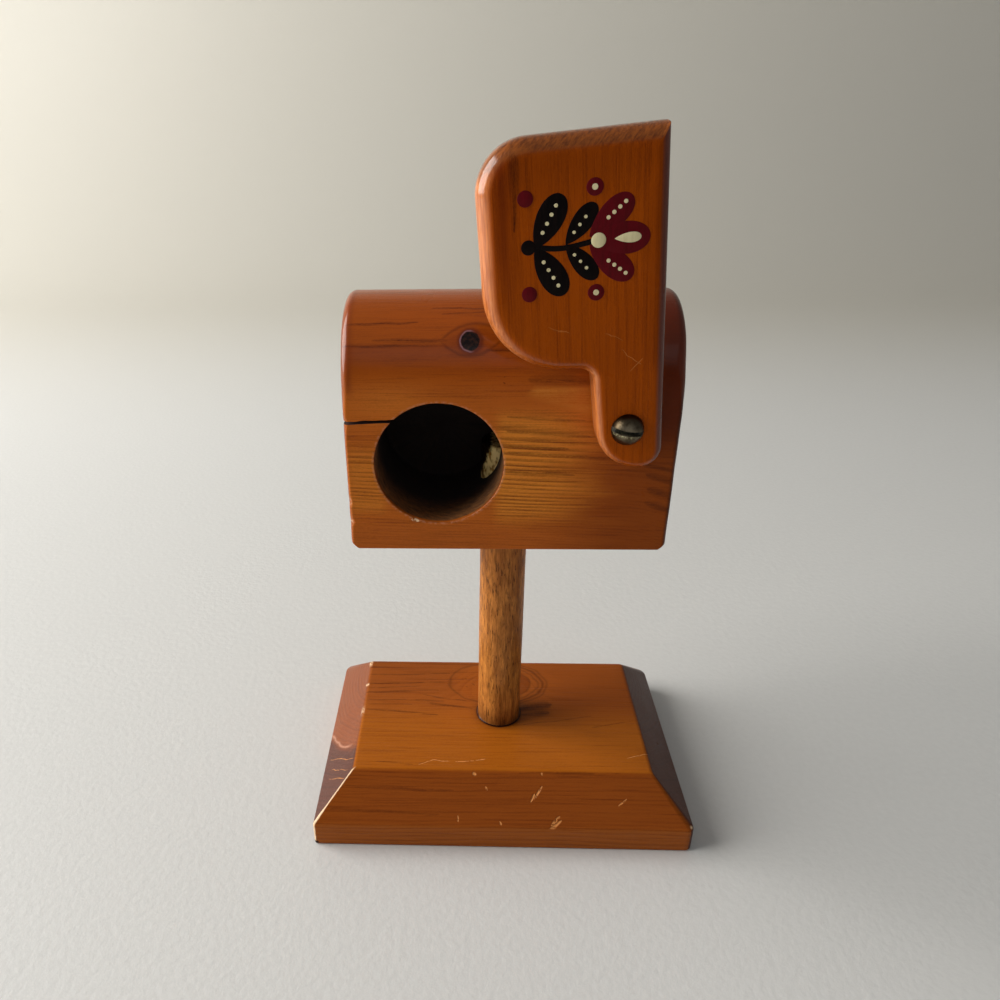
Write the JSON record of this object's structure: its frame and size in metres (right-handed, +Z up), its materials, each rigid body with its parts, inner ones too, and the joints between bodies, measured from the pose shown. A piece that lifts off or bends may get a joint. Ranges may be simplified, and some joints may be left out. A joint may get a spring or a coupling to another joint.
{
  "type": "stamp dispenser",
  "caption": "Wooden desk stamp dispenser shaped like a small letterbox on a post, with a round roll chamber, a saw slot for the strip and a flag-shaped swing cover.",
  "frame": {"origin": "middle of the base's underside", "axes": "+X to the right along the base's length, -Y out of the front with the roll chamber and cover, +Z up the post"},
  "size_m": [0.1092, 0.0718, 0.1893],
  "materials": {
    "pine_base": "amber-stained pine under gloss varnish",
    "dowel_wood": "stained hardwood dowel, satin varnish",
    "pine_housing": "amber-stained pine under gloss varnish",
    "pine_cover": "amber-stained pine under gloss varnish, with a small painted ornament",
    "screw_metal": "darkened steel, worn bright on the dome"
  },
  "bodies": {
    "stand": {"base": "pine_base", "post": "dowel_wood", "roll_housing": "pine_housing", "pivot_screw": "screw_metal"},
    "cover": {"swing_cover": "pine_cover"}
  },
  "joints": [
    {"name": "cover_swing", "type": "hinge", "parent": "stand", "child": "cover", "pos_m": [0.0258, -0.0233, 0.12645], "axis": [0, -1, 0], "continuous": true}
  ]
}
